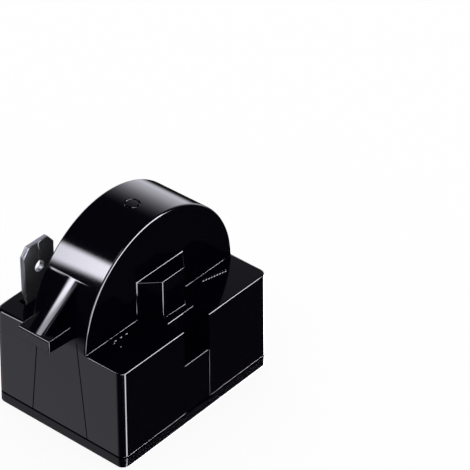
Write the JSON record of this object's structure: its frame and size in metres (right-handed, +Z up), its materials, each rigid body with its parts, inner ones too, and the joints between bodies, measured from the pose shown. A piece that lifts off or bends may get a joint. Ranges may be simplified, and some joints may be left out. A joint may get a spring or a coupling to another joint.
{
  "type": "compressor start relay",
  "caption": "Black moulded start relay for a refrigerator compressor: a block with a half-round dome, pin receptacles in its base and an upright push-on tab.",
  "frame": {"origin": "centre of the block on the underside of the base cover, which is the face it stands on", "axes": "+X along the block away from the catch shelf, +Y towards the tab, +Z up through the dome"},
  "size_m": [0.0364, 0.0246, 0.0319],
  "materials": {
    "black_moulding": "black phenolic-like moulding with a high gloss",
    "tab_steel": "tinned steel strip, rolled and slightly dull",
    "brass_strip": "rolled brass strip",
    "spring_steel": "bright spring steel",
    "pill_ceramic": "silvered grey ceramic"
  },
  "bodies": {
    "root": {"housing": "black_moulding", "base_cover": "black_moulding", "ptc_pill": "pill_ceramic", "start_spring": "spring_steel", "run_spring": "spring_steel", "start_link": "brass_strip", "run_terminal": "tab_steel", "start_socket": "brass_strip", "run_socket": "brass_strip", "start_socket_clip": "spring_steel", "run_socket_clip": "spring_steel", "start_spring_rivet_1": "brass_strip", "start_spring_rivet_2": "brass_strip", "start_socket_rivet_1": "brass_strip", "start_socket_rivet_2": "brass_strip", "run_spring_rivet_1": "brass_strip", "run_spring_rivet_2": "brass_strip", "run_socket_rivet_1": "brass_strip", "run_socket_rivet_2": "brass_strip"}
  },
  "joints": []
}
